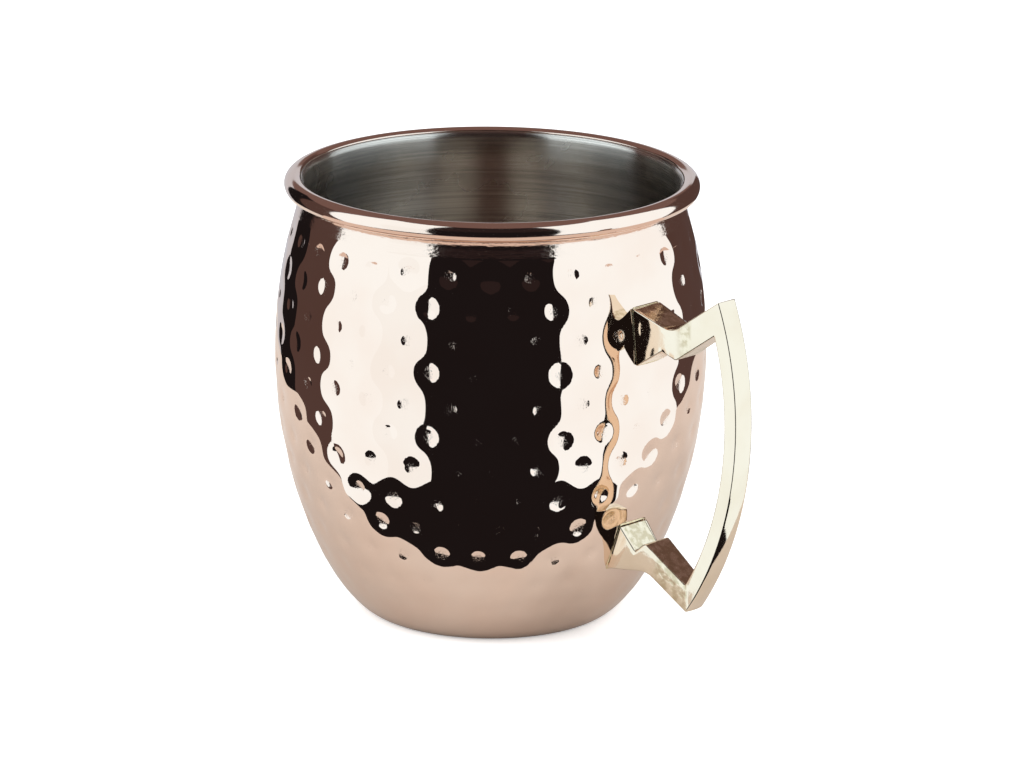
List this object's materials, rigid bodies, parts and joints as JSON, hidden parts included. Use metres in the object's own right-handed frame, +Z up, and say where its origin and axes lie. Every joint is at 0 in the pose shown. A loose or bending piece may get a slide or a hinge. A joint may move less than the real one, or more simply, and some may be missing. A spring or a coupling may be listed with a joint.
{
  "type": "hammered barrel mug",
  "caption": "Barrel-shaped hammered copper mug with a rolled rim, a brushed steel liner and an angular cast brass handle on two brazed feet.",
  "frame": {"origin": "centre of the flat underside", "axes": "+Z up along the barrel's axis, +X along the handle, +Y across the handle"},
  "size_m": [0.1198, 0.093, 0.0961],
  "materials": {
    "hammered_copper": "mirror-polished copper, hammered with round dents",
    "brushed_steel": "brushed round the mug's axis",
    "polished_brass": "mirror-polished pale brass",
    "braze": "buffed braze metal"
  },
  "bodies": {
    "root": {"copper_shell": "hammered_copper", "steel_liner": "brushed_steel", "handle": "polished_brass", "upper_foot_braze": "braze", "lower_foot_braze": "braze"}
  },
  "joints": []
}
